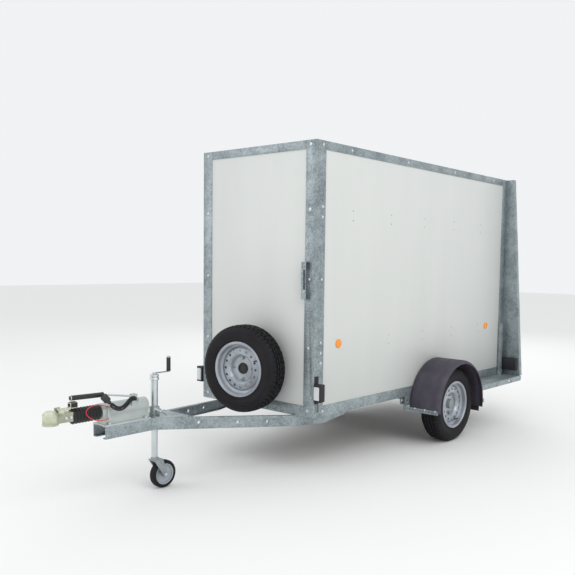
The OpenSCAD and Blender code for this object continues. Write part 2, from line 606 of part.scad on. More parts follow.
module handbrake_lever() placed() {
    color("#a3adae") {
        translate([lever_x - 9 - ear_t, pivot.y, pivot.z]) along_x() cylinder(h = 18 + 2 * ear_t, r = 6);
        translate([lever_x - 9 + gap, pivot.y, pivot.z]) along_x() cylinder(h = 18 - 2 * gap, r = 13);
        rod([lever_x, pivot.y, pivot.z], [lever_x, grip_y, pivot.z + 36], 6);
    }
    color("#19181a") rod([lever_x, grip_y, pivot.z + 36], [lever_x, grip_y - 197, pivot.z + 42], 13);
}

// ---- Jockey wheel ----

clamp_z = nose_z + arm_h - 17;
tube_z = nose_z - 25;
tube_top = clamp_z + 250;
screw_r = 8;
module at_jockey() placed() translate([0, jockey_y, 0]) children();
module jockey_clamp() at_jockey() color("#a3adae") difference() {
    union() {
        translate([0, 0, clamp_z]) cylinder(h = 70, r = sleeve_r);
        block([sleeve_r - 8, -14, clamp_z + 34], [sleeve_r + 18, 14, clamp_z + 62]);
    }
    translate([0, 0, clamp_z - 1]) cylinder(h = 72, r = jockey_r + fit);
    translate([sleeve_r - 10, 0, clamp_z + 48]) along_x() cylinder(h = 40, r = 6 + fit);
}
module clamp_lever() at_jockey() color("#a3adae") translate([sleeve_r + 18, 0, clamp_z + 48]) {
    translate([-14, 0, 0]) along_x() cylinder(h = 28, r = 6);
    rod([9, -44, 24], [9, 44, -24], 5);
}
module jockey_tube() at_jockey() color("#a9b1b1") difference() {
    union() {
        translate([0, 0, tube_z]) cylinder(h = tube_top - tube_z, r = jockey_r);
        translate([0, 0, tube_top]) cylinder(h = 14, r = jockey_r + 5);
    }
    translate([0, 0, tube_z - 1]) cylinder(h = tube_top - tube_z - 5, r = jockey_r - 2.5);
    translate([0, 0, tube_z - 1]) cylinder(h = roof_z, r = screw_r + fit);
}
jr = jockey_d / 2;
fork_top = jockey_d + 28;
module jockey_leg() at_jockey() color("#b4bab9") difference() {
    translate([0, 0, fork_top + 1]) cylinder(h = tube_top - 130 - fork_top, r = jockey_r - 2.5 - fit);
    translate([0, 0, fork_top]) cylinder(h = roof_z, r = screw_r + 1);
}
module jockey_fork() at_jockey() color("#a3adae") difference() {
    union() {
        translate([0, 0, fork_top - 12]) cylinder(h = 12, r = 22);
        block([-jockey_w / 2 - 7, -24, fork_top - 18], [jockey_w / 2 + 7, 40, fork_top - 12]);
        for (x = [-jockey_w / 2 - 7, jockey_w / 2 + 2]) side_view(x, x + 5)
            polygon([[-24, fork_top - 13], [40, fork_top - 13], [jockey_trail + 14, jr], [jockey_trail, jr - 15], [jockey_trail - 14, jr - 6]]);
    }
    translate([-50, jockey_trail, jr]) along_x() cylinder(h = 100, r = 6 + fit);
}
module jockey_wheel() at_jockey() translate([0, jockey_trail, jr]) along_x() {
    color("#8d9196") {
        translate([0, 0, -jockey_w / 2 - 7]) cylinder(h = jockey_w + 14, r = 6);
        translate([0, 0, -jockey_w / 2 + 1]) cylinder(h = jockey_w - 2, r = jr - 22);
    }
    color("#17151a") rotate_extrude() polygon([[jr - 22, -jockey_w / 2 + 2], [jr - 6, -jockey_w / 2 + 2],
        [jr, -jockey_w / 2 + 8], [jr, jockey_w / 2 - 8], [jr - 6, jockey_w / 2 - 2], [jr - 22, jockey_w / 2 - 2]]);
}
crank_z = tube_top + 15;
module jockey_crank() at_jockey() {
    color("#a3adae") {
        translate([0, 0, crank_z - 200]) cylinder(h = 210, r = screw_r);
        translate([0, 0, crank_z]) cylinder(h = 12, r = 12);
        block([-8, 0, crank_z + 4], [8, 112, crank_z + 10]);
        translate([0, 104, crank_z + 4]) cylinder(h = 92, r = 5);
    }
    color("#17161a") translate([0, 104, crank_z + 12]) cylinder(h = 86, r = 12);
}

// ---- Rear ramp and its catches ----

ramp_y = body_l + 4;
ramp_x = w - 6;
ramp_top = roof_z - 35;
frame_w = 50;
module ramp_panel() placed() color("#d8dbd7")
    block([-ramp_x + frame_w, ramp_y + 8, sill_z + 40], [ramp_x - frame_w, ramp_y + ramp_t - 4, ramp_top - frame_w]);
module ramp_frame() placed() color("#a3adae") {
    difference() {
        block([-ramp_x, ramp_y, hinge_z - 8], [ramp_x, ramp_y + ramp_t, ramp_top]);
        block([-ramp_x + frame_w, ramp_y - 1, sill_z + 40], [ramp_x - frame_w, ramp_y + ramp_t + 1, ramp_top - frame_w]);
        for (x = hinge_x) {
            block([x - 1, ramp_y - 1, hinge_z - 9], [x + knuckle + 1, ramp_y + ramp_t + 1, hinge_z + hinge_r + 3]);
            translate([x - 14, hinge_y, hinge_z]) along_x() cylinder(h = knuckle + 28, r = pin_r + fit);
        }
    }
    // Battens give the animals a foothold on the inner face
    for (i = [0 : batten_n - 1])
        block([-ramp_x + frame_w + 30, ramp_y - 12, sill_z + 110 + i * (ramp_top - sill_z - 290) / (batten_n - 1)],
            [ramp_x - frame_w - 30, ramp_y + 8, sill_z + 135 + i * (ramp_top - sill_z - 290) / (batten_n - 1)]);
}
catch_x = ramp_x - 25;
catch_z = rail_z + 0.5 * body_h;
module catch_piece() translate([catch_x, ramp_y + ramp_t, catch_z]) {
    translate([0, gap, 0]) along_y() cylinder(h = 12, r = 16);
    block([-11, 4, -150], [11, 12, 0]);
    block([0, 4, -9], [75, 12, 9]);
}
module catch_right() placed() color("#b4bab9") catch_piece();
module catch_left() placed() color("#b4bab9") mirror([1, 0, 0]) catch_piece();

// ---- Prop stands ----

prop_l = 510;
module prop_stand() difference() {
    translate([prop_x - prop_w / 2, prop_y - prop_w / 2, prop_z]) cube([prop_w, prop_w, prop_l]);
    translate([prop_x - prop_w / 2 + 3, prop_y - prop_w / 2 + 3, prop_z - 1]) cube([prop_w - 6, prop_w - 6, prop_l + 2]);
    for (i = [0 : 20]) translate([prop_x - prop_w, prop_y, prop_z + 22 + i * 23]) along_x() cylinder(h = 2 * prop_w, r = 5.5);
}
module prop_right() placed() color("#a3adae") prop_stand();
module prop_left() placed() color("#a3adae") mirror([1, 0, 0]) prop_stand();

side_rails();
cross_members();
drawbar_left();
drawbar_right();
drawbar_gusset();
floor_deck();
front_panel();
left_panel();
right_panel();
roof_panel();
front_posts();
rear_posts();
roof_rails();
wing_plates();
rear_platforms();
bump_rubbers();
body_bolts();
panel_screws();
grab_handle();
mudguards();
mudguard_stays();
mudflaps();
spring_hangers();
rear_lamps();
lamp_lenses();
side_reflectors();
marker_lamps();
lamp_leads();
spare_carrier();
spare_rim();
spare_tyre();
coupling_housing();
curly_cable();
trailer_plug();
breakaway_cable();
jockey_tube();
jockey_clamp();
clamp_lever();
axle_beam();
leaf_springs();
hub_left();
hub_right();
rim_left();
rim_right();
tyre_left();
tyre_right();
coupling_head();
head_handle();
gaiter();
handbrake_lever();
jockey_leg();
jockey_fork();
jockey_wheel();
jockey_crank();
ramp_panel();
ramp_frame();
catch_left();
catch_right();
prop_left();
prop_right();
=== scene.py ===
from math import cos, pi, radians, sin

import bpy
from mathutils import Matrix, Vector


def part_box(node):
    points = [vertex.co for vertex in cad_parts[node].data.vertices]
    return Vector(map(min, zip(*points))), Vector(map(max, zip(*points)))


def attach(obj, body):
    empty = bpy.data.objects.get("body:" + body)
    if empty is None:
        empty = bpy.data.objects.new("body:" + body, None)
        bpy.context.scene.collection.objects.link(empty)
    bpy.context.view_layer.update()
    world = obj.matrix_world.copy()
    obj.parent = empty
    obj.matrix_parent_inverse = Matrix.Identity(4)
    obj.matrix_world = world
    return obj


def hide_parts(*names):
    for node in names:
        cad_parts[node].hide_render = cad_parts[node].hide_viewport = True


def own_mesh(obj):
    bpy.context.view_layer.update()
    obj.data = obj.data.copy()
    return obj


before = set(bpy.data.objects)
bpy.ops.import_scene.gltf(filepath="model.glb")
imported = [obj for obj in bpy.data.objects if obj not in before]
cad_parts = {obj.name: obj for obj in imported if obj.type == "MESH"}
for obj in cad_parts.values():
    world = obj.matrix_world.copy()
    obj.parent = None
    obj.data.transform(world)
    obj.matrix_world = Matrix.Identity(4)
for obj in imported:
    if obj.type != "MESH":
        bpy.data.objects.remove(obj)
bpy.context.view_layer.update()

# Camera: it stands off the trailer's front right corner at chest height, looks slightly down
# along the box's two visible walls, and is turned a degree about its own line of sight.
yaw, pitch, roll = 0.685, -0.078, 0.017
ahead = Vector((-sin(yaw) * cos(pitch), cos(yaw) * cos(pitch), sin(pitch)))
level = Vector((cos(yaw), sin(yaw), 0))
upright = level.cross(ahead)
across = level * cos(roll) + upright * sin(roll)
upward = upright * cos(roll) - level * sin(roll)
bpy.ops.object.select_all(action="DESELECT")
bpy.ops.object.camera_add(location=(3.511, -3.975, 1.391))
camera = bpy.context.object
camera.rotation_euler = Matrix((across, upward, -ahead)).transposed().to_euler()
camera.data.sensor_width = 36
camera.data.lens = 44.53
camera.data.shift_x = -0.088
camera.data.shift_y = 0.052
camera.data.clip_end = 200
bpy.context.scene.camera = camera
bpy.context.scene.view_settings.view_transform = "Standard"


# Studio floor: seamless pale paper, matt, with no pattern.
# Every finish below starts from the same few steps: a shader, its colour and a pattern.
def linear(hex_colour):
    """An sRGB hex colour as linear red, green, blue and alpha"""
    parts = [int(hex_colour[i:i + 2], 16) / 255 for i in (1, 3, 5)]
    return (*[c / 12.92 if c <= 0.04045 else ((c + 0.055) / 1.055) ** 2.4 for c in parts], 1.0)


def add_node(tree, kind, links={}, **settings):
    """Adds a node, sets its settings, and links or sets its inputs"""
    made = tree.nodes.new("ShaderNode" + kind)
    for key, value in settings.items():
        setattr(made, key, value)
    for key, value in links.items():
        if isinstance(value, bpy.types.NodeSocket):
            tree.links.new(value, made.inputs[key])
        else:
            made.inputs[key].default_value = value
    return made


def new_finish(name, colour, roughness, **sockets):
    """A material with its shader set; returns the material, its tree and its shader"""
    material = bpy.data.materials.new(name)
    material.use_nodes = True
    shader = material.node_tree.nodes["Principled BSDF"]
    shader.inputs["Base Color"].default_value = linear(colour)
    shader.inputs["Roughness"].default_value = roughness
    for key, value in sockets.items():
        shader.inputs[key.replace("_", " ")].default_value = value
    return material, material.node_tree, shader


studio_paper, tree, shader = new_finish("studio_paper", "#f1f1ef", 0.9)
bpy.ops.mesh.primitive_plane_add(size=60, location=(0, 0, 0))
floor = bpy.context.object
floor.name = "studio_floor"
floor.data.materials.append(studio_paper)

# Studio light: one large soft box above the front right, a weaker one on the left, and a pale
# even surround, so the long wall is the brightest face and the front wall a little darker.
world = bpy.data.worlds.new("studio_surround")
bpy.context.scene.world = world
world.use_nodes = True
world.node_tree.nodes["Background"].inputs["Color"].default_value = linear("#f6f8fa")
world.node_tree.nodes["Background"].inputs["Strength"].default_value = 0.95
for name, place, power, size, target in (
    ("key_box", (6.0, -2.5, 6.0), 170, 4.5, (0, 0, 0.9)),
    ("fill_box", (-4.5, -6.0, 3.5), 60, 4.0, (0, -0.5, 0.9)),
    ("rear_box", (-3.5, 6.5, 5.0), 90, 4.0, (0, 0.5, 0.9)),
):
    bpy.ops.object.light_add(type="AREA", location=place)
    lamp = bpy.context.object
    lamp.name = name
    lamp.data.energy = power
    lamp.data.size = size
    lamp.rotation_euler = (Vector(place) - Vector(target)).to_track_quat("Z", "Y").to_euler()


# Curly lead: a 6 mm polyurethane lead wound into a tight coil of 28 mm, matt black.
# It leaves the housing's side boss, sags beside the housing and ends in the parked plug.
def pattern_bump(tree, shader, height, strength, distance):
    """Lets a pattern raise the surface by a real distance"""
    bump = add_node(tree, "Bump", {"Height": height, "Strength": strength, "Distance": distance})
    tree.links.new(bump.outputs["Normal"], shader.inputs["Normal"])


def grained(name, colour, roughness, grain_mm, depth_mm, **sockets):
    """A moulded or cast surface: one colour with a fine grain and slight unevenness"""
    material, tree, shader = new_finish(name, colour, roughness, **sockets)
    place = add_node(tree, "TexCoord").outputs["Object"]
    grain = add_node(tree, "TexNoise", {"Vector": place, "Scale": 1000 / grain_mm, "Detail": 4.0})
    tone = add_node(tree, "TexNoise", {"Vector": place, "Scale": 9.0, "Detail": 5.0})
    base = linear(colour)
    worn = tuple(min(1.0, c * 1.35 + 0.012) for c in base[:3]) + (1.0,)
    mixed = add_node(tree, "ValToRGB", {"Fac": tone.outputs["Fac"]})
    mixed.color_ramp.elements[0].color = base
    mixed.color_ramp.elements[1].color = worn
    tree.links.new(mixed.outputs["Color"], shader.inputs["Base Color"])
    pattern_bump(tree, shader, grain.outputs["Fac"], 0.5, depth_mm / 1000)
    return material


def smooth_route(points, steps):
    """A smooth line through given points"""
    line = []
    for i in range(len(points) - 1):
        a, b, c, d = (Vector(points[max(0, min(len(points) - 1, i + k))]) for k in (-1, 0, 1, 2))
        for k in range(steps):
            t = k / steps
            line.append(0.5 * (2 * b + (c - a) * t + (2 * a - 5 * b + 4 * c - d) * t ** 2
                               + (3 * b - a - 3 * c + d) * t ** 3))
    return line + [Vector(points[-1])]


def lead_curve(name, line, radius, finish, body):
    """One open spline with a round section, which rides a body"""
    curve = bpy.data.curves.new(name, "CURVE")
    curve.dimensions = "3D"
    curve.bevel_depth = radius
    curve.bevel_resolution = 3
    curve.use_fill_caps = True
    spline = curve.splines.new("POLY")
    spline.points.add(len(line) - 1)
    for point, place in zip(spline.points, line):
        point.co = (*place, 1)
    piece = bpy.data.objects.new(name, curve)
    bpy.context.scene.collection.objects.link(piece)
    piece.data.materials.append(finish)
    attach(piece, body)
    return piece


def line_length(line):
    return sum((q - p).length for p, q in zip(line, line[1:]))


middle_y = 0.575   # the body's front face lies this far in front of the origin
pu_black = grained("polyurethane_black", "#141316", 0.5, 1.2, 0.05)
curly_points = [(0.080, -1.012, 0.583), (0.082, -1.030, 0.596), (0.084, -1.055, 0.590), (0.087, -1.085, 0.566),
                (0.089, -1.115, 0.552), (0.089, -1.145, 0.556), (0.088, -1.172, 0.574), (0.086, -1.188, 0.592)]
curly_points = [(x, y - middle_y, z) for x, y, z in curly_points]
spine = smooth_route(curly_points, 60)
curly_turns, coil_radius, lead_in, curly_line = 25, 0.0108, 0.08, []
walked, turn, whole = 0.0, 0.0, line_length(spine)
for i, place in enumerate(spine):
    along = (spine[min(i + 1, len(spine) - 1)] - spine[max(i - 1, 0)]).normalized()
    side = Vector((1, 0, 0)).cross(along).normalized()
    step = (place - spine[max(i - 1, 0)]).length
    walked += step
    opened = max(0.0, min(1.0, walked / whole / lead_in, (1 - walked / whole) / lead_in))
    swell = opened * opened * (3 - 2 * opened)
    turn += 2 * pi * curly_turns * swell * step / whole
    curly_line.append(place + coil_radius * swell * (cos(turn) * side + sin(turn) * along.cross(side)))
curly_lead = lead_curve("curly_lead", curly_line, 0.003, pu_black, "chassis")
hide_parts("curly_cable")

# Breakaway cable: a thin steel cable in a red plastic sheath. Both of its ends are held at the
# housing, and between them it hangs in one loop beside the gaiter.
sheath_red = grained("red_sheath", "#b8272f", 0.4, 1.0, 0.03)
breakaway_points = [(0.066, -1.186, 0.500), (0.068, -1.212, 0.496), (0.070, -1.250, 0.500), (0.071, -1.290, 0.516),
                    (0.071, -1.318, 0.540), (0.071, -1.322, 0.565), (0.070, -1.300, 0.582), (0.069, -1.262, 0.588),
                    (0.067, -1.222, 0.580), (0.066, -1.186, 0.566)]
breakaway_points = [(x, y - middle_y, z) for x, y, z in breakaway_points]
breakaway_line = smooth_route(breakaway_points, 6)
breakaway = lead_curve("breakaway_loop", breakaway_line, 0.0025, sheath_red, "chassis")
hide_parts("breakaway_cable")

# Galvanised frame: rails, posts, wings, steps, drawbar and brackets of 3 to 5 mm folded steel,
# dipped in zinc after welding. The zinc freezes in crystals of 5 to 8 mm, which the eye reads
# as blue-grey flakes, and it dulls in clouds where rain runs over it. Folds stay a little round.
def galvanised(name, light, dark, crystal_mm):
    material, tree, shader = new_finish(name, light, 0.46, Metallic=0.55)
    place = add_node(tree, "TexCoord").outputs["Object"]
    warp = add_node(tree, "TexNoise", {"Vector": place, "Scale": 60.0, "Detail": 2.0})
    bent = add_node(tree, "VectorMath", {0: warp.outputs["Color"], 1: (0.006, 0.006, 0.006)}, operation="MULTIPLY")
    crystals_at = add_node(tree, "VectorMath", {0: place, 1: bent.outputs[0]}, operation="ADD")
    crystals = add_node(tree, "TexVoronoi", {"Vector": crystals_at.outputs[0], "Scale": 1000 / crystal_mm})
    flake = add_node(tree, "SeparateColor", {"Color": crystals.outputs["Color"]})
    clouds = add_node(tree, "TexNoise", {"Vector": place, "Scale": 7.0, "Detail": 8.0, "Roughness": 0.72})
    both = add_node(tree, "Math", {0: flake.outputs[0], 1: 0.32}, operation="MULTIPLY")
    tone = add_node(tree, "Math", {0: clouds.outputs["Fac"], 1: 1.25, 2: both.outputs[0]}, operation="MULTIPLY_ADD")
    ramp = add_node(tree, "ValToRGB", {"Fac": tone.outputs[0]})
    ramp.color_ramp.elements[0].position = 0.38
    ramp.color_ramp.elements[0].color = linear(dark)
    ramp.color_ramp.elements[1].position = 1.0
    ramp.color_ramp.elements[1].color = linear(light)
    tree.links.new(ramp.outputs["Color"], shader.inputs["Base Color"])
    dull = add_node(tree, "MapRange", {"Value": tone.outputs[0], "To Min": 0.62, "To Max": 0.36})
    tree.links.new(dull.outputs["Result"], shader.inputs["Roughness"])
    pattern_bump(tree, shader, flake.outputs[1], 0.25, 0.00015)
    return material


def rounded(node, name, body, edge, finish):
    """Shows a CAD piece through a copy whose sharp edges are rounded, as folds and saw cuts are"""
    bpy.ops.object.select_all(action="DESELECT")
    piece = bpy.data.objects.new(name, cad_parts[node].data.copy())
    bpy.context.scene.collection.objects.link(piece)
    piece.select_set(True)
    bpy.context.view_layer.objects.active = piece
    bpy.ops.object.mode_set(mode="EDIT")
    bpy.ops.mesh.select_all(action="SELECT")
    bpy.ops.mesh.remove_doubles(threshold=0.00002)
    bpy.ops.mesh.dissolve_limited(angle_limit=radians(1.0))
    bpy.ops.object.mode_set(mode="OBJECT")
    if edge:
        bevel = piece.modifiers.new("edge", "BEVEL")
        bevel.width = edge
        bevel.segments = 2
        bevel.limit_method = "ANGLE"
        bevel.angle_limit = radians(50)
        bevel.use_clamp_overlap = True
        bpy.ops.object.modifier_apply(modifier="edge")
    bpy.ops.object.shade_smooth_by_angle(angle=radians(32))
    piece.data.materials.clear()
    piece.data.materials.append(finish)
    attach(piece, body)
    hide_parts(node)
    return piece


zinc_dip = galvanised("hot_dip_zinc", "#a5afb2", "#5f6a70", 8)
zinc_dip_fine = galvanised("hot_dip_zinc_fine", "#aab2b3", "#6f7a7e", 5)
for node, edge in (
    ("side_rails", 0.0012), ("cross_members", 0.0012), ("drawbar_left", 0.0015), ("drawbar_right", 0.0015),
    ("drawbar_gusset", 0.001), ("front_posts", 0.0012), ("rear_posts", 0.0012), ("roof_rails", 0.001),
    ("wing_plates", 0.0008), ("rear_platforms", 0.0012), ("grab_handle", 0.0012), ("mudguard_stays", 0.0008),
    ("spring_hangers", 0.0008), ("spare_carrier", 0.001),
):
    rounded(node, node + "_zinc", "chassis", edge, zinc_dip)
for node, body in (("prop_left", "prop_left"), ("prop_right", "prop_right")):
    rounded(node, node + "_zinc", body, 0.0008, zinc_dip_fine)

# Wall, roof and ramp panels: 18 mm plywood under a smooth white resin film. The film is satin,
# flat to the eye, and greys a little in soft vertical streaks; low down it is darkened as painted shade.
film_white, tree, shader = new_finish("white_resin_film", "#e6e7e2", 0.34, IOR=1.5)
place = add_node(tree, "TexCoord").outputs["Object"]
streaks_at = add_node(tree, "Mapping", {"Vector": place, "Scale": (3.0, 3.0, 0.5)})
streaks = add_node(tree, "TexNoise", {"Vector": streaks_at.outputs[0], "Scale": 1.6, "Detail": 6.0})
height = add_node(tree, "SeparateXYZ", {"Vector": place})
# painted shade: the film is darkened from 0.95 m down to 0.42 m and below, where shade falls near the floor
low_painted_shade = add_node(tree, "MapRange", {"Value": height.outputs["Z"], "From Min": 0.42, "From Max": 0.95,
                                     "To Min": 0.5, "To Max": 0.0})
# the tone mixes the random vertical streaks, which are dirt, with the painted shade low down
streaks_and_painted_shade = add_node(tree, "Math", {0: streaks.outputs["Fac"], 1: 0.55, 2: low_painted_shade.outputs["Result"]},
                  operation="MULTIPLY_ADD")
film_tone = add_node(tree, "ValToRGB", {"Fac": streaks_and_painted_shade.outputs[0]})
film_tone.color_ramp.elements[0].position = 0.2
film_tone.color_ramp.elements[0].color = linear("#d2d4d1")
film_tone.color_ramp.elements[1].position = 0.95
film_tone.color_ramp.elements[1].color = linear("#c3c6c3")
tree.links.new(film_tone.outputs["Color"], shader.inputs["Base Color"])
peel = add_node(tree, "TexNoise", {"Vector": place, "Scale": 240.0, "Detail": 2.0})
pattern_bump(tree, shader, peel.outputs["Fac"], 0.12, 0.0002)
for node in ("front_panel", "left_panel", "right_panel", "roof_panel"):
    rounded(node, node + "_film", "chassis", 0.0008, film_white)
rounded("ramp_panel", "ramp_panel_film", "ramp", 0.0008, film_white)
rounded("ramp_frame", "ramp_frame_zinc", "ramp", 0.0012, zinc_dip)

# Floor deck: brown film-faced birch plywood, pressed with a fine wire mesh pattern for grip.
mesh_film, tree, shader = new_finish("brown_mesh_film", "#4a3526", 0.55)
place = add_node(tree, "TexCoord").outputs["Object"]
wire = add_node(tree, "TexVoronoi", {"Vector": place, "Scale": 220.0}, distance="CHEBYCHEV")
film_age = add_node(tree, "TexNoise", {"Vector": place, "Scale": 5.0, "Detail": 6.0})
brown = add_node(tree, "ValToRGB", {"Fac": film_age.outputs["Fac"]})
brown.color_ramp.elements[0].color = linear("#38271b")
brown.color_ramp.elements[1].color = linear("#5d4733")
tree.links.new(brown.outputs["Color"], shader.inputs["Base Color"])
pattern_bump(tree, shader, wire.outputs["Distance"], 0.5, 0.0006)
rounded("floor_deck", "floor_deck_film", "chassis", 0.0005, mesh_film)


# Body bolts: M10 cup-head bolts in bright zinc, each on a wide flat washer, on posts and rails.
# Panel screws: small countersunk screws with white-grey paint left round them.
def fixing(name, radius, rise, washer):
    """A domed head on its washer, drawn on +Z about the origin"""
    bpy.ops.object.select_all(action="DESELECT")
    bpy.ops.mesh.primitive_uv_sphere_add(segments=16, ring_count=8, radius=1, location=(0, 0, 0))
    head = bpy.context.object
    bpy.ops.object.mode_set(mode="EDIT")
    bpy.ops.mesh.bisect(plane_co=(0, 0, 0), plane_no=(0, 0, 1), use_fill=True, clear_inner=True)
    bpy.ops.mesh.select_all(action="SELECT")
    bpy.ops.transform.resize(value=(radius, radius, rise), center_override=(0, 0, 0))
    bpy.ops.transform.translate(value=(0, 0, 0.0012))
    bpy.ops.object.mode_set(mode="OBJECT")
    bpy.ops.mesh.primitive_cylinder_add(vertices=20, radius=washer, depth=0.0012, location=(0, 0, 0.0006))
    flat = bpy.context.object
    bevel = flat.modifiers.new("edge", "BEVEL")
    bevel.width, bevel.segments = 0.0004, 1
    bpy.ops.object.modifier_apply(modifier="edge")
    head.select_set(True)
    bpy.context.view_layer.objects.active = head
    bpy.ops.object.join()
    bpy.ops.object.transform_apply(location=True, rotation=True, scale=True)
    bpy.ops.object.shade_smooth_by_angle(angle=radians(40))
    head.name = name
    return head


def strewn(pattern, name, places, finish, slot, body, *nodes):
    """Copies of a pattern piece at (place, outward direction), joined as one piece"""
    copies = []
    for place, out in places:
        copy = bpy.data.objects.new(name, pattern.data.copy())
        bpy.context.scene.collection.objects.link(copy)
        copy.data.transform(Matrix.Translation(place) @ Vector(out).to_track_quat("Z", "Y").to_matrix().to_4x4())
        copies.append(copy)
    bpy.ops.object.select_all(action="DESELECT")
    for copy in copies:
        copy.select_set(True)
    bpy.context.view_layer.objects.active = copies[0]
    bpy.ops.object.join()
    piece = bpy.context.object
    piece.name = name
    piece.data.materials.clear()
    piece.data.materials.append(finish)
    bpy.data.objects.remove(pattern)
    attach(piece, body)
    if nodes:
        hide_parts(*nodes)
    return piece


bright_zinc = grained("bright_zinc", "#c2c8ca", 0.32, 2.0, 0.02, Metallic=0.9)
half_w, body_l, rail_z, body_h = 0.540, 2.640, 0.380, 1.775
front_y = -middle_y
top_z = rail_z + body_h - 0.0275
places = []
for side in (-1, 1):
    for share in (0.2, 0.236, 0.275, 0.505, 0.729, 0.765):
        places.append(((side * half_w, front_y + 0.065, rail_z + share * body_h), (side, 0, 0)))
    places.append(((side * half_w, front_y + 0.065, top_z), (side, 0, 0)))
    for i in range(4):
        places.append(((side * half_w, front_y + 0.357 + i * 0.673, top_z), (side, 0, 0)))
    for share in (0.255, 0.505, 0.755):
        places.append(((side * (half_w - 0.050), front_y, rail_z + share * body_h), (0, -1, 0)))
    places.append(((side * (half_w - 0.050), front_y, top_z), (0, -1, 0)))
    places.append(((side * (half_w - 0.054), front_y, rail_z + 0.0432), (0, -1, 0)))
    places.append(((side * half_w, front_y + 0.090, rail_z + 0.036), (side, 0, 0)))
strewn(fixing("cup_head", 0.0072, 0.0042, 0.0100), "cup_head_bolts", places, bright_zinc, "bright_zinc",
       "chassis", "body_bolts")
places = []
for side in (-1, 1):
    for i in range(5):
        for height in ([0.7437, 0.2569] if i else [0.7437]):
            for step in (-0.032, 0.032):
                y = front_y + 0.385 + i * 0.445
                places.append(((side * (half_w - 0.004), y, rail_z + height * body_h + step), (side, 0, 0)))
screw_grey = grained("painted_screw", "#8b8f8d", 0.45, 1.0, 0.02, Metallic=0.4)
strewn(fixing("small_screw", 0.0034, 0.0016, 0.0044), "panel_screw_heads", places, screw_grey, "bright_zinc",
       "chassis", "panel_screws")


# Tyres: black rubber, 155 mm class, with a blocky road tread, a scrubbed shoulder and raised
# rings on the side wall. New rubber has a faint violet-brown bloom and a satin side wall.
def lathe(name, outline, steps, sweep=360, closed=True):
    """Turns an outline of (radius, height) about the Z axis; the piece is centred on the origin"""
    bpy.ops.object.select_all(action="DESELECT")
    bpy.ops.mesh.primitive_plane_add(size=0.01, location=(0, 0, 0))
    piece = bpy.context.object
    piece.name = name
    bpy.ops.object.mode_set(mode="EDIT")
    bpy.ops.mesh.select_all(action="SELECT")
    bpy.ops.mesh.merge(type="CENTER")
    bpy.ops.transform.translate(value=(outline[0][0], 0, outline[0][1]))
    for (r0, z0), (r1, z1) in zip(outline, outline[1:] + (outline[:1] if closed else [])):
        bpy.ops.mesh.extrude_region_move(TRANSFORM_OT_translate={"value": (r1 - r0, 0, z1 - z0)})
    bpy.ops.mesh.select_all(action="SELECT")
    bpy.ops.mesh.remove_doubles(threshold=0.00001)
    bpy.ops.mesh.spin(steps=steps, angle=radians(sweep), center=(0, 0, 0), axis=(0, 0, 1))
    bpy.ops.mesh.select_all(action="SELECT")
    bpy.ops.mesh.remove_doubles(threshold=0.00001)
    if sweep < 360 and closed:
        bpy.ops.mesh.select_all(action="DESELECT")
        bpy.ops.mesh.select_non_manifold()
        bpy.ops.mesh.edge_face_add()
        bpy.ops.mesh.select_all(action="SELECT")
    bpy.ops.mesh.normals_make_consistent(inside=False)
    bpy.ops.object.mode_set(mode="OBJECT")
    return piece


def choose_faces(piece, wanted):
    """Selects the faces that a test picks by centre and normal, in edit mode"""
    bpy.ops.object.mode_set(mode="OBJECT")
    for part in (piece.data.vertices, piece.data.edges):
        part.foreach_set("select", [False] * len(part))
    piece.data.polygons.foreach_set("select", [bool(wanted(f.center, f.normal)) for f in piece.data.polygons])
    bpy.ops.object.mode_set(mode="EDIT")


def dressed(piece, finish, slot, body, *nodes, smooth=35):
    """Shades a finished piece, gives it its finish and lets it ride its body"""
    bpy.ops.object.select_all(action="DESELECT")
    piece.select_set(True)
    bpy.context.view_layer.objects.active = piece
    bpy.ops.object.transform_apply(location=True, rotation=True, scale=True)
    if smooth:
        bpy.ops.object.shade_smooth_by_angle(angle=radians(smooth))
    piece.data.materials.clear()
    piece.data.materials.append(finish)
    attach(piece, body)
    if nodes:
        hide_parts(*nodes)
    return piece


half_side = [(0.1660, 0.0560), (0.1670, 0.0640), (0.1710, 0.0680), (0.1850, 0.0682), (0.1880, 0.0700),
             (0.1890, 0.0722), (0.1920, 0.0728), (0.1970, 0.0732), (0.1980, 0.0752), (0.2010, 0.0754),
             (0.2030, 0.0744), (0.2170, 0.0782), (0.2340, 0.0790), (0.2440, 0.0782), (0.2450, 0.0770),
             (0.2480, 0.0768), (0.2490, 0.0778), (0.2620, 0.0750), (0.2740, 0.0690), (0.2820, 0.0610),
             (0.2860, 0.0540)]
tread = [(0.2878, 0.0440), (0.2815, 0.0425), (0.2815, 0.0375), (0.2890, 0.0360), (0.2896, 0.0190),
         (0.2830, 0.0175), (0.2830, 0.0115), (0.2900, 0.0100)]
inside = [(0.2760, 0.0350), (0.2650, 0.0560), (0.2400, 0.0690), (0.2130, 0.0690), (0.1900, 0.0520)]
outer = half_side + tread
tyre_outline = (outer + [(r, -z) for r, z in reversed(outer)] + [(r, -z) for r, z in reversed(inside)] + inside)
tyre_steps = 216
tyre = lathe("tyre_pattern", tyre_outline, tyre_steps)
# Cross grooves part the shoulder and the middle ribs into blocks, staggered from rib to rib
turn_of = lambda c: int(round(((c.to_2d().angle_signed(Vector((1, 0)))) % (2 * pi)) / (2 * pi) * tyre_steps - 0.5))
choose_faces(tyre, lambda c, n: (
    (0.0445 < abs(c.z) < 0.0690 and c.to_2d().length > 0.272 and turn_of(c) % 4 == 0)
    or (0.0190 < abs(c.z) < 0.0370 and c.to_2d().length > 0.2885 and turn_of(c) % 4 == 2)
    or (abs(c.z) < 0.0100 and c.to_2d().length > 0.2890 and turn_of(c) % 6 == 1)))
bpy.ops.mesh.extrude_region_shrink_fatten(TRANSFORM_OT_shrink_fatten={"value": -0.0045})
bpy.ops.object.mode_set(mode="OBJECT")


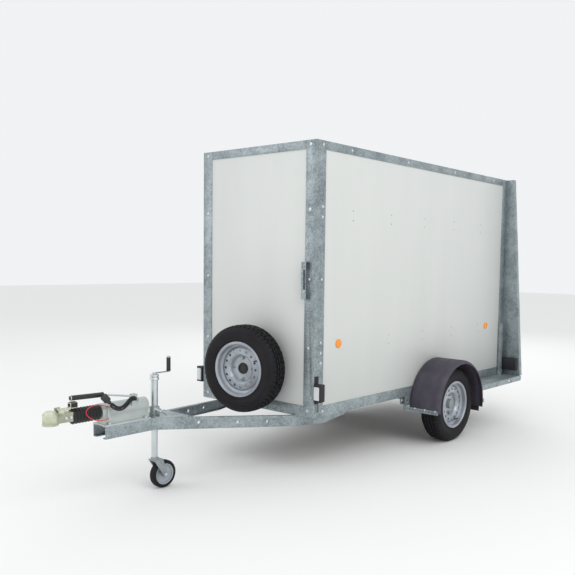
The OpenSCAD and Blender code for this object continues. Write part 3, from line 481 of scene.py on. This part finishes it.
tyre_rubber, tree, shader = new_finish("tyre_rubber", "#121014", 0.62, Specular_IOR_Level=0.3)
place = add_node(tree, "TexCoord").outputs["Object"]
bloom = add_node(tree, "TexNoise", {"Vector": place, "Scale": 11.0, "Detail": 6.0, "Roughness": 0.65})
rubber_tone = add_node(tree, "ValToRGB", {"Fac": bloom.outputs["Fac"]})
rubber_tone.color_ramp.elements[0].position = 0.35
rubber_tone.color_ramp.elements[0].color = linear("#0b0a0d")
rubber_tone.color_ramp.elements[1].position = 0.75
rubber_tone.color_ramp.elements[1].color = linear("#19161c")
tree.links.new(rubber_tone.outputs["Color"], shader.inputs["Base Color"])
pores = add_node(tree, "TexNoise", {"Vector": place, "Scale": 700.0, "Detail": 3.0})
pattern_bump(tree, shader, pores.outputs["Fac"], 0.4, 0.0003)

# Wheels in place: outer side up on +Z, laid over to +X or -X, and the spare turned to the front.
hub_x, axle_z, axle_y = 0.669, 0.290, 1.460 - middle_y
lay_over = Matrix.Rotation(pi / 2, 4, "Y")
wheel_places = {
    "right": Matrix.Translation((hub_x, axle_y, axle_z)) @ lay_over,
    "left": Matrix.Translation((-hub_x, axle_y, axle_z)) @ Matrix.Rotation(-pi / 2, 4, "Y"),
    "spare": Matrix.Translation((0.069, -0.164 - middle_y, 0.677)) @ Matrix.Rotation(radians(11.5), 4, "Z")
    @ Matrix.Rotation(pi / 2, 4, "X"),
}


def placed_copy(pattern, name, where):
    """A copy of a pattern piece with its own mesh, moved to its place"""
    copy = bpy.data.objects.new(name, pattern.data.copy())
    bpy.context.scene.collection.objects.link(copy)
    copy.data.transform(where)
    return copy


for side, body in (("right", "wheel_right"), ("left", "wheel_left"), ("spare", "chassis")):
    node = "spare_tyre" if side == "spare" else "tyre_" + side
    dressed(placed_copy(tyre, node + "_rubber", wheel_places[side]), tyre_rubber, "tyre", body, node)
bpy.data.objects.remove(tyre)

# Rims: pressed steel, 13 inch class, silver lacquer over a zinc phosphate. A ring of round hand
# holes runs round the dish, and the four stud seats are pressed proud. The lacquer has a fine
# metallic grain and is dusty in the well.
silver, tree, shader = new_finish("silver_lacquer", "#c3c8cd", 0.36, Metallic=0.45)
place = add_node(tree, "TexCoord").outputs["Object"]
flop = add_node(tree, "TexNoise", {"Vector": place, "Scale": 7.0, "Detail": 6.0})
silver_tone = add_node(tree, "ValToRGB", {"Fac": flop.outputs["Fac"]})
silver_tone.color_ramp.elements[0].position = 0.3
silver_tone.color_ramp.elements[0].color = linear("#8d929a")
silver_tone.color_ramp.elements[1].position = 0.7
silver_tone.color_ramp.elements[1].color = linear("#b9bec5")
tree.links.new(silver_tone.outputs["Color"], shader.inputs["Base Color"])
fine = add_node(tree, "TexNoise", {"Vector": place, "Scale": 900.0, "Detail": 1.0})
pattern_bump(tree, shader, fine.outputs["Fac"], 0.15, 0.0001)
for node, body in (("rim_right", "wheel_right"), ("rim_left", "wheel_left"), ("spare_rim", "chassis")):
    rim = rounded(node, node + "_lacquer", body, 0.0008, silver)
    even = rim.modifiers.new("even", "WEIGHTED_NORMAL")
    even.keep_sharp = True
    bpy.ops.object.modifier_apply(modifier="even")
hub_zinc = grained("cast_hub_zinc", "#8d9294", 0.5, 1.5, 0.08, Metallic=0.6)
rounded("hub_right", "hub_right_zinc", "wheel_right", 0.001, hub_zinc)
rounded("hub_left", "hub_left_zinc", "wheel_left", 0.001, hub_zinc)

# Tyre valves: a rubber stem with a plastic cap, one in each rim, and a black cap in the centre
# bore of the spare rim.
moulded_black = grained("moulded_black", "#18171a", 0.45, 0.8, 0.03)
stem = [(0.0, 0.0), (0.0052, 0.0), (0.0052, 0.008), (0.0036, 0.010), (0.0036, 0.022), (0.0042, 0.023),
        (0.0042, 0.033), (0.0036, 0.034), (0.0, 0.034)]
for side, body in (("right", "wheel_right"), ("left", "wheel_left"), ("spare", "chassis")):
    valve = lathe("valve_" + side, stem, 16, closed=False)
    tilt = Matrix.Translation((0.132, 0.062, 0.032)) @ Matrix.Rotation(radians(-18), 4, "Y")
    valve.data.transform(wheel_places[side] @ tilt)
    dressed(valve, moulded_black, "black_rubber", body)
bore_cap = lathe("spare_bore_cap", [(0.0, 0.0), (0.036, 0.0), (0.036, 0.009), (0.034, 0.013), (0.027, 0.014),
                                    (0.025, 0.008), (0.0, 0.007)], 40, closed=False)
bore_cap.data.transform(wheel_places["spare"] @ Matrix.Translation((0, 0, 0.0085)))
dressed(bore_cap, moulded_black, "black_plastic", "chassis")

# Mudguards: black-grey polypropylene, pressure formed 3 mm thick, with a rolled outer edge and
# two shallow stiffening ribs. The plastic has chalked to a violet grey where the sun reaches it.
chalked, tree, shader = new_finish("chalked_polypropylene", "#4b4650", 0.58)
place = add_node(tree, "TexCoord").outputs["Object"]
chalk = add_node(tree, "TexNoise", {"Vector": place, "Scale": 5.0, "Detail": 7.0, "Roughness": 0.6})
chalk_tone = add_node(tree, "ValToRGB", {"Fac": chalk.outputs["Fac"]})
chalk_tone.color_ramp.elements[0].position = 0.3
chalk_tone.color_ramp.elements[0].color = linear("#322e3a")
chalk_tone.color_ramp.elements[1].position = 0.75
chalk_tone.color_ramp.elements[1].color = linear("#4d4854")
tree.links.new(chalk_tone.outputs["Color"], shader.inputs["Base Color"])
leather_grain = add_node(tree, "TexVoronoi", {"Vector": place, "Scale": 420.0})
pattern_bump(tree, shader, leather_grain.outputs["Distance"], 0.4, 0.0004)
guard_outer = 0.3537
skin = [(guard_outer + drop, z) for drop, z in (
    (-0.0040, 0.0), (-0.0010, 0.003), (0.0, 0.008), (0.0, 0.055), (-0.0015, 0.062), (-0.0015, 0.082), (0.0, 0.089),
    (0.0, 0.175), (-0.0015, 0.182), (-0.0015, 0.200), (0.0, 0.206), (0.0, 0.226), (-0.0020, 0.238), (-0.0060, 0.249),
    (-0.0125, 0.2575), (-0.0200, 0.2615), (-0.0275, 0.262))]
for side, sign in (("right", 1), ("left", -1)):
    guard = lathe("mudguard_" + side, skin, 96, sweep=193, closed=False)
    thick = guard.modifiers.new("thick", "SOLIDIFY")
    thick.thickness = 0.003
    thick.offset = -1
    bpy.ops.object.modifier_apply(modifier="thick")
    turned = Matrix.Rotation(radians(273), 4, "Z")
    out_to_side = Matrix.Translation((sign * 0.546, axle_y, axle_z)) @ Matrix.Rotation(sign * pi / 2, 4, "Y")
    if sign < 0:
        turned = Matrix.Scale(-1, 4, (1, 0, 0)) @ Matrix.Rotation(radians(273), 4, "Z")
    guard.data.transform(out_to_side @ turned)
    bpy.ops.object.mode_set(mode="EDIT")
    bpy.ops.mesh.select_all(action="SELECT")
    bpy.ops.mesh.normals_make_consistent(inside=False)
    bpy.ops.object.mode_set(mode="OBJECT")
    dressed(guard, chalked, "guard", "chassis", *(["mudguards"] if sign > 0 else []))
places = []
for sign in (-1, 1):
    for end in (-1, 1):
        for x in (0.600, 0.690, 0.780):
            places.append(((sign * x, axle_y + end * 0.3597, axle_z + 0.002), (0, end, 0)))
strewn(fixing("guard_screw", 0.0050, 0.0030, 0.0080), "guard_screws", places, bright_zinc, "bright_zinc", "chassis")

# Mudflaps and bump rubbers: black rubber, cut from ribbed sheet and moulded block.
flap_rubber = grained("flap_rubber", "#151416", 0.7, 2.5, 0.15)
rounded("mudflaps", "mudflaps_rubber", "chassis", 0.001, flap_rubber)
rounded("bump_rubbers", "bump_rubbers_rubber", "chassis", 0.005, flap_rubber)

# Leaf springs and axle: black paint over rolled spring steel, and a galvanised square beam.
spring_paint = grained("spring_paint", "#232426", 0.5, 3.0, 0.1)
leaves = rounded("leaf_springs", "leaf_springs_painted", "chassis", 0.001, spring_paint)
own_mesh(leaves)
rounded("axle_beam", "axle_beam_zinc", "axle", 0.001, zinc_dip)

# Side reflectors: moulded orange acrylic, 58 mm across, prismatic on the back, with a flat rim
# and a domed face that stands proud of the panel.
prism_orange, tree, shader = new_finish("prism_orange", "#f79a20", 0.18, IOR=1.49, Coat_Weight=0.6)
place = add_node(tree, "TexCoord").outputs["Object"]
prism = add_node(tree, "TexVoronoi", {"Vector": place, "Scale": 320.0}, distance="MANHATTAN")
prism_tone = add_node(tree, "ValToRGB", {"Fac": prism.outputs["Distance"]})
prism_tone.color_ramp.elements[0].color = linear("#ffb23c")
prism_tone.color_ramp.elements[1].color = linear("#ef8a14")
tree.links.new(prism_tone.outputs["Color"], shader.inputs["Base Color"])
pattern_bump(tree, shader, prism.outputs["Distance"], 0.6, 0.0008)
disc = [(0.0, 0.0), (0.0289, 0.0), (0.0289, 0.0050), (0.0276, 0.0062), (0.0255, 0.0062), (0.0248, 0.0054),
        (0.0240, 0.0064), (0.0180, 0.0078), (0.0090, 0.0086), (0.0, 0.0088)]
reflector = lathe("reflector_pattern", disc, 48, closed=False)
places = [((sign * (half_w - 0.004), y - middle_y, rail_z + 0.264 * body_h), (sign, 0, 0))
          for sign in (-1, 1) for y in (0.247, body_l - 0.329)]
strewn(reflector, "side_reflector_discs", places, prism_orange, "orange_lens", "chassis", "side_reflectors")

# Lamps. Each front marker lamp is a soft rubber arm with a clear ribbed lens that faces ahead.
# Each rear lamp is a black ABS box behind the wing plate, with red, orange and red lenses.
lamp_rubber = grained("lamp_rubber", "#17161a", 0.6, 1.0, 0.05)
rounded("marker_lamps", "marker_lamps_rubber", "chassis", 0.004, lamp_rubber)
rounded("rear_lamps", "rear_lamps_shell", "chassis", 0.004, moulded_black)


def box_piece(name, low, high, edge, segments=3):
    """A block between two corners with its edges rounded"""
    bpy.ops.object.select_all(action="DESELECT")
    middle = [(a + b) / 2 for a, b in zip(low, high)]
    bpy.ops.mesh.primitive_cube_add(size=1, location=middle, scale=[b - a for a, b in zip(low, high)])
    piece = bpy.context.object
    piece.name = name
    bpy.ops.object.transform_apply(location=True, rotation=True, scale=True)
    bevel = piece.modifiers.new("edge", "BEVEL")
    bevel.width, bevel.segments = edge, segments
    bpy.ops.object.modifier_apply(modifier="edge")
    return piece


def lens(name, colour, rib_mm):
    """A moulded acrylic lens: clear colour with fine flutes on its inner face"""
    material, tree, shader = new_finish(name, colour, 0.12, IOR=1.49, Transmission_Weight=0.15, Coat_Weight=0.4)
    place = add_node(tree, "TexCoord").outputs["Object"]
    flutes = add_node(tree, "TexWave", {"Vector": place, "Scale": 1000 / rib_mm / 20}, bands_direction="X")
    pattern_bump(tree, shader, flutes.outputs["Fac"], 0.5, 0.0008)
    return material


red_lens = lens("red_lens", "#a3141b", 6)
amber_lens = lens("amber_lens", "#e37a14", 6)
clear_lens = lens("clear_lens", "#dfe2e2", 5)
lamp_x, lamp_z, lamp_y = half_w + 0.018, rail_z + 0.050, body_l - middle_y
for sign, side in ((1, "right"), (-1, "left")):
    for part, a, b, finish, slot in (("stop", 0.002, 0.070, red_lens, "red_lens"),
                                     ("turn", 0.071, 0.110, amber_lens, "orange_lens"),
                                     ("tail", 0.111, 0.148, red_lens, "red_lens")):
        x0, x1 = sorted((sign * (lamp_x + a), sign * (lamp_x + b)))
        glass = box_piece("rear_lens_" + part + "_" + side, (x0, lamp_y + 0.0008, lamp_z + 0.003),
                          (x1, lamp_y + 0.022, lamp_z + 0.107), 0.004)
        dressed(glass, finish, slot, "chassis", *(["lamp_lenses"] if side == "right" and part == "stop" else []))
    marker_x = sign * (half_w + 0.035)
    ribs = box_piece("marker_lens_" + side, (marker_x - 0.021, -middle_y - 0.0155, 0.548 - 0.043),
                     (marker_x + 0.021, -middle_y - 0.0082, 0.548 + 0.043), 0.003)
    choose_faces(ribs, lambda c, n: n.y < -0.9)
    bpy.ops.mesh.inset(thickness=0.005)
    bpy.ops.mesh.extrude_region_shrink_fatten(TRANSFORM_OT_shrink_fatten={"value": -0.0015})
    bpy.ops.object.mode_set(mode="OBJECT")
    dressed(ribs, clear_lens, None, "chassis")

# Clipped lamp leads: 6 mm black cable from each marker lamp down to the rail.
for sign, side in ((1, "right"), (-1, "left")):
    drop = [(sign * (half_w + x), y - middle_y, z) for x, y, z in
            ((0.012, 0.030, 0.491), (0.012, 0.031, 0.468), (0.010, 0.034, 0.450), (0.006, 0.040, 0.420))]
    lamp_lead = lead_curve("marker_lead_" + side, smooth_route(drop, 8), 0.003, pu_black, "chassis")
    if side == "right":
        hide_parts("lamp_leads")

# Coupling housing: a hollow steel casting, dipped in zinc, bolted through its foot plate to both
# drawbar arms with M10 hex bolts. It has a grease nipple on top.
cast_zinc = grained("cast_zinc", "#b0b6b4", 0.5, 3.5, 0.25, Metallic=0.5)
rounded("coupling_housing", "coupling_housing_cast", "chassis", 0.0025, cast_zinc)


def hex_head(name, across, rise, washer):
    """A hex head on its washer, drawn on +Z about the origin, with its top chamfered"""
    bpy.ops.object.select_all(action="DESELECT")
    bpy.ops.mesh.primitive_cylinder_add(vertices=6, radius=across / 2 / cos(pi / 6), depth=rise,
                                        location=(0, 0, rise / 2 + 0.002))
    head = bpy.context.object
    bevel = head.modifiers.new("edge", "BEVEL")
    bevel.width, bevel.segments = across * 0.05, 2
    bpy.ops.object.modifier_apply(modifier="edge")
    bpy.ops.mesh.primitive_cylinder_add(vertices=24, radius=washer, depth=0.002, location=(0, 0, 0.001))
    head.select_set(True)
    bpy.context.view_layer.objects.active = head
    bpy.ops.object.join()
    bpy.ops.object.transform_apply(location=True, rotation=True, scale=True)
    head.name = name
    return head


house_y, foot_z, coupling_z = -1.200 - middle_y, 0.463, 0.532
places = [((x * 0.053, house_y + y, foot_z), (0, 0, 1)) for x in (-1, 1) for y in (0.030, 0.270)]
strewn(hex_head("foot_bolt", 0.0165, 0.0075, 0.0088), "foot_bolts", places, bright_zinc, "bright_zinc", "chassis")
nipple = lathe("grease_nipple", [(0.0, 0.0), (0.0050, 0.0), (0.0050, 0.005), (0.0030, 0.006), (0.0030, 0.010),
                                 (0.0036, 0.012), (0.0026, 0.014), (0.0, 0.0145)], 16, closed=False)
nipple.data.transform(Matrix.Translation((0, house_y + 0.060, coupling_z + 0.0455)))
dressed(nipple, bright_zinc, "bright_zinc", "chassis")

# Coupling head: two pressed shells of 5 mm steel, welded and zinc plated with a pale yellow
# passivate. A rolled rim runs round the ball cup, and cross bolts hold the head to its draw tube.
yellow_zinc, tree, shader = new_finish("yellow_passivate", "#c9cbb0", 0.4, Metallic=0.55)
place = add_node(tree, "TexCoord").outputs["Object"]
tint = add_node(tree, "TexNoise", {"Vector": place, "Scale": 22.0, "Detail": 6.0})
tint_tone = add_node(tree, "ValToRGB", {"Fac": tint.outputs["Fac"]})
tint_tone.color_ramp.elements[0].position = 0.3
tint_tone.color_ramp.elements[0].color = linear("#aeb29b")
tint_tone.color_ramp.elements[1].position = 0.7
tint_tone.color_ramp.elements[1].color = linear("#d8d9c2")
tree.links.new(tint_tone.outputs["Color"], shader.inputs["Base Color"])
rounded("coupling_head", "coupling_head_shell", "coupling_head", 0.003, yellow_zinc)
ball_y, head_z = -1.490 - middle_y, 0.503
rim = lathe("ball_cup_rim", [(0.0396, 0.0), (0.0408, 0.0), (0.0424, 0.0022), (0.0424, 0.0058), (0.0408, 0.0080),
                             (0.0396, 0.0080)], 64)
rim.data.transform(Matrix.Translation((0, ball_y, head_z)))
dressed(rim, yellow_zinc, "zinc", "coupling_head")
places = [((x * 0.030, ball_y + y, coupling_z + 0.003), (x, 0, 0)) for x in (-1, 1) for y in (0.072, 0.100)]
strewn(hex_head("cross_bolt", 0.0150, 0.0065, 0.0085), "cross_bolts", places, bright_zinc, "bright_zinc",
       "coupling_head")
rounded("head_handle", "head_handle_shell", "head_handle", 0.003, yellow_zinc)
pad = box_piece("head_handle_pad", (-0.0172, ball_y + 0.108, head_z + 0.0775),
                (0.0172, ball_y + 0.1510, head_z + 0.1072), 0.006)
choose_faces(pad, lambda c, n: n.z > 0.9)
bpy.ops.mesh.inset(thickness=0.004)
bpy.ops.mesh.extrude_region_shrink_fatten(TRANSFORM_OT_shrink_fatten={"value": -0.002})
bpy.ops.object.mode_set(mode="OBJECT")
dressed(pad, moulded_black, "black_plastic", "head_handle")

# Gaiter: a blow-moulded rubber bellows of nine pleats between the head and the housing. It is
# held by its own tight end collars.
gaiter_low, gaiter_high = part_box("gaiter")
gaiter_l, pleats = gaiter_high.y - gaiter_low.y, 9
pitch = gaiter_l / pleats
bellows = [(0.0272, 0.0)]
for i in range(pleats):
    for share, r in ((0.04, 0.0335), (0.22, 0.0375), (0.40, 0.0428), (0.50, 0.0438), (0.60, 0.0428), (0.78, 0.0375),
                     (0.96, 0.0335)):
        bellows.append((r, (i + share) * pitch))
bellows.append((0.0272, gaiter_l))
gaiter = lathe("gaiter_bellows", bellows, 64)
gaiter.data.transform(Matrix.Translation((0, gaiter_low.y, coupling_z)) @ Matrix.Rotation(-pi / 2, 4, "X"))
gaiter_rubber = grained("gaiter_rubber", "#161517", 0.55, 1.5, 0.08)
dressed(gaiter, gaiter_rubber, "black_rubber", "chassis", "gaiter", smooth=60)
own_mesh(gaiter)

# Handbrake: a bright zinc bar that pivots between two ears, with a ribbed black PVC grip.
rounded("handbrake_lever", "handbrake_bar", "handbrake", 0.0012, bright_zinc)


def ribbed_grip(name, start, end, radius, ribs, body):
    """A dipped PVC grip with a flared end and finger ribs, laid from start to end"""
    start, end = Vector(start), Vector(end)
    length = (end - start).length
    outline = [(0.0, 0.0), (radius * 0.92, 0.0), (radius * 1.06, 0.003), (radius * 1.06, 0.006), (radius, 0.009)]
    step = (length - 0.024) / ribs
    for i in range(ribs):
        z = 0.010 + i * step
        outline += [(radius, z + 0.12 * step), (radius * 0.955, z + 0.3 * step), (radius * 0.955, z + 0.7 * step),
                    (radius, z + 0.88 * step)]
    outline += [(radius, length - 0.010), (radius * 0.85, length - 0.002), (radius * 0.5, length), (0.0, length)]
    grip = lathe(name, outline, 32, closed=False)
    turn = (end - start).to_track_quat("Z", "Y").to_matrix().to_4x4()
    grip.data.transform(Matrix.Translation(start) @ turn)
    return dressed(grip, moulded_black, "black_plastic", body, smooth=50)


pivot_y, pivot_z = -1.000 - middle_y, coupling_z + 0.066
ribbed_grip("handbrake_grip", (0.034, pivot_y - 0.197, pivot_z + 0.0357), (0.034, pivot_y - 0.3985, pivot_z + 0.0421),
            0.0140, 14, "handbrake")

# Jockey wheel: cold-drawn tube in bright zinc, a clamp sleeve with a T lever, a screw with its
# crank on top, and a castor fork with a pressed rim in a solid rubber tyre.
rounded("jockey_tube", "jockey_tube_zinc", "chassis", 0.001, bright_zinc)
rounded("jockey_clamp", "jockey_clamp_zinc", "chassis", 0.0015, zinc_dip_fine)
rounded("clamp_lever", "clamp_lever_zinc", "clamp_lever", 0.001, bright_zinc)
rounded("jockey_leg", "jockey_leg_zinc", "jockey_leg", 0.001, bright_zinc)
rounded("jockey_fork", "jockey_fork_zinc", "jockey_fork", 0.0012, zinc_dip_fine)
rounded("jockey_crank", "jockey_crank_zinc", "jockey_crank", 0.001, bright_zinc)
jockey_y = -0.830 - middle_y
crank_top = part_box("jockey_crank")[1].z
ribbed_grip("crank_grip", (0, jockey_y + 0.104, crank_top - 0.0875), (0, jockey_y + 0.104, crank_top + 0.0015),
            0.0128, 6, "jockey_crank")
tube_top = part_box("jockey_tube")[1].z
collar = lathe("jockey_collar", [(0.0212, 0.0), (0.0265, 0.002), (0.0275, 0.006), (0.0275, 0.012), (0.0255, 0.016),
                                 (0.0212, 0.018)], 48)
collar.data.transform(Matrix.Translation((0, jockey_y, tube_top - 0.034)))
dressed(collar, bright_zinc, "bright_zinc", "chassis")
wheel_at = Matrix.Translation((0, jockey_y + 0.060, 0.085)) @ Matrix.Rotation(pi / 2, 4, "Y")
small_rim_outline = [
    (0.0062, -0.0235), (0.0130, -0.0235), (0.0150, -0.0200), (0.0180, -0.0090), (0.0440, -0.0070), (0.0530, -0.0100),
    (0.0570, -0.0190), (0.0630, -0.0200), (0.0632, 0.0200), (0.0570, 0.0190), (0.0530, 0.0100), (0.0440, 0.0070),
    (0.0180, 0.0090), (0.0150, 0.0200), (0.0130, 0.0235), (0.0062, 0.0235)]
small_rim = lathe("jockey_rim", small_rim_outline, 64)
small_rim.data.transform(wheel_at)
dressed(small_rim, silver, "silver", "jockey_wheel", "jockey_wheel")
small_tyre_outline = [
    (0.0625, -0.0195), (0.0680, -0.0215), (0.0760, -0.0218), (0.0820, -0.0180), (0.0845, -0.0100), (0.0850, -0.0030),
    (0.0838, -0.0022), (0.0838, 0.0022), (0.0850, 0.0030), (0.0845, 0.0100), (0.0820, 0.0180), (0.0760, 0.0218),
    (0.0680, 0.0215), (0.0625, 0.0195)]
small_tyre = lathe("jockey_tyre", small_tyre_outline, 72)
small_tyre.data.transform(wheel_at)
dressed(small_tyre, tyre_rubber, "tyre", "jockey_wheel", smooth=50)
small_pin_outline = [(0.0, -0.0330), (0.0095, -0.0330), (0.0095, -0.0312), (0.0060, -0.0311), (0.0060, 0.0311),
                     (0.0095, 0.0312), (0.0095, 0.0330), (0.0, 0.0330)]
small_pin = lathe("jockey_pin", small_pin_outline, 24, closed=False)
small_pin.data.transform(wheel_at)
dressed(small_pin, bright_zinc, "bright_zinc", "jockey_wheel")

# Ramp catches: forged levers in bright zinc, one on each edge of the ramp, which turn on a
# shouldered bolt. A black rubber seal runs round the ramp, pressed on a steel core.
for side in ("left", "right"):
    rounded("catch_" + side, "catch_" + side + "_zinc", "catch_" + side, 0.002, bright_zinc)
catch_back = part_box("catch_right")[1].y
for sign, side in ((-1, "left"), (1, "right")):
    strewn(hex_head("catch_bolt", 0.0160, 0.0060, 0.0120), "catch_bolt_" + side,
           [((sign * 0.509, catch_back, rail_z + 0.5 * body_h), (0, 1, 0))], bright_zinc, "bright_zinc",
           "catch_" + side)
seal_rubber = grained("seal_rubber", "#131214", 0.6, 1.5, 0.05)
for name, x0, x1, z0, z1 in (("left", -0.534, -0.524, 0.470, 2.118), ("right", 0.524, 0.534, 0.470, 2.118),
                             ("top", -0.523, 0.523, 2.108, 2.118)):
    y = body_l + 0.004 - middle_y
    seal = box_piece("ramp_seal_" + name, (x0, y - 0.0035, z0), (x1, y + 0.002, z1), 0.0015, 2)
    dressed(seal, seal_rubber, "black_rubber", "ramp")
